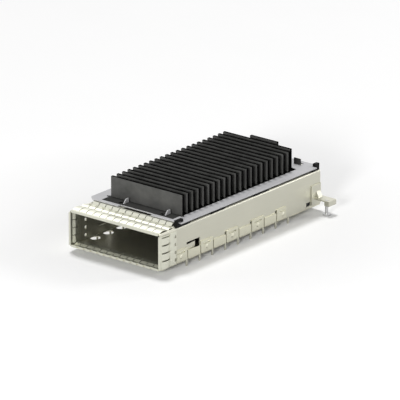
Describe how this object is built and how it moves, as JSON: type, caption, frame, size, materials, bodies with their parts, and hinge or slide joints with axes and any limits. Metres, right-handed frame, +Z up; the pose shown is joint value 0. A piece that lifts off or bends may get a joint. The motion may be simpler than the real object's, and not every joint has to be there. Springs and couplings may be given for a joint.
{
  "type": "pluggable module cage connector",
  "caption": "Board-mounted sheet-metal cage for a pluggable optical module, with shielding fingers at its mouth, a riding finned heat sink and a host connector inside.",
  "frame": {"origin": "middle of the footprint, level with the tips of the board pins", "axes": "+X across the module opening, +Y from the opening to the rear, +Z up from the board"},
  "size_m": [0.0582, 0.0956, 0.0258],
  "materials": {
    "cage_metal": "warm nickel-plated sheet",
    "spring_metal": "bright plated spring strip",
    "black_anodised": "black anodised",
    "plate_metal": "satin sheet",
    "black_plastic": "moulded matt",
    "screw_steel": "plain steel",
    "contact_gold": "gold plated"
  },
  "bodies": {
    "cage": {"cage_shell": "cage_metal", "cage_floor": "cage_metal", "rear_bracket": "cage_metal", "top_outer_fingers": "spring_metal", "bottom_outer_fingers": "spring_metal", "left_outer_fingers": "spring_metal", "right_outer_fingers": "spring_metal", "top_inner_fingers": "spring_metal", "bottom_inner_fingers": "spring_metal", "left_inner_fingers": "spring_metal", "right_inner_fingers": "spring_metal", "roof_fingers": "spring_metal", "retainer_plate": "plate_metal", "front_clips": "black_plastic", "rear_clips": "black_plastic", "edge_pads": "black_plastic", "right_screw": "screw_steel", "left_screw": "screw_steel", "connector_housing": "black_plastic", "upper_contacts": "contact_gold", "lower_contacts": "contact_gold"},
    "heat_sink_body": {"heat_sink": "black_anodised"}
  },
  "joints": [
    {"name": "heat_sink_float", "type": "slide", "parent": "cage", "child": "heat_sink_body", "axis": [0, 0, 1], "range_m": [0, 0.0005]}
  ]
}
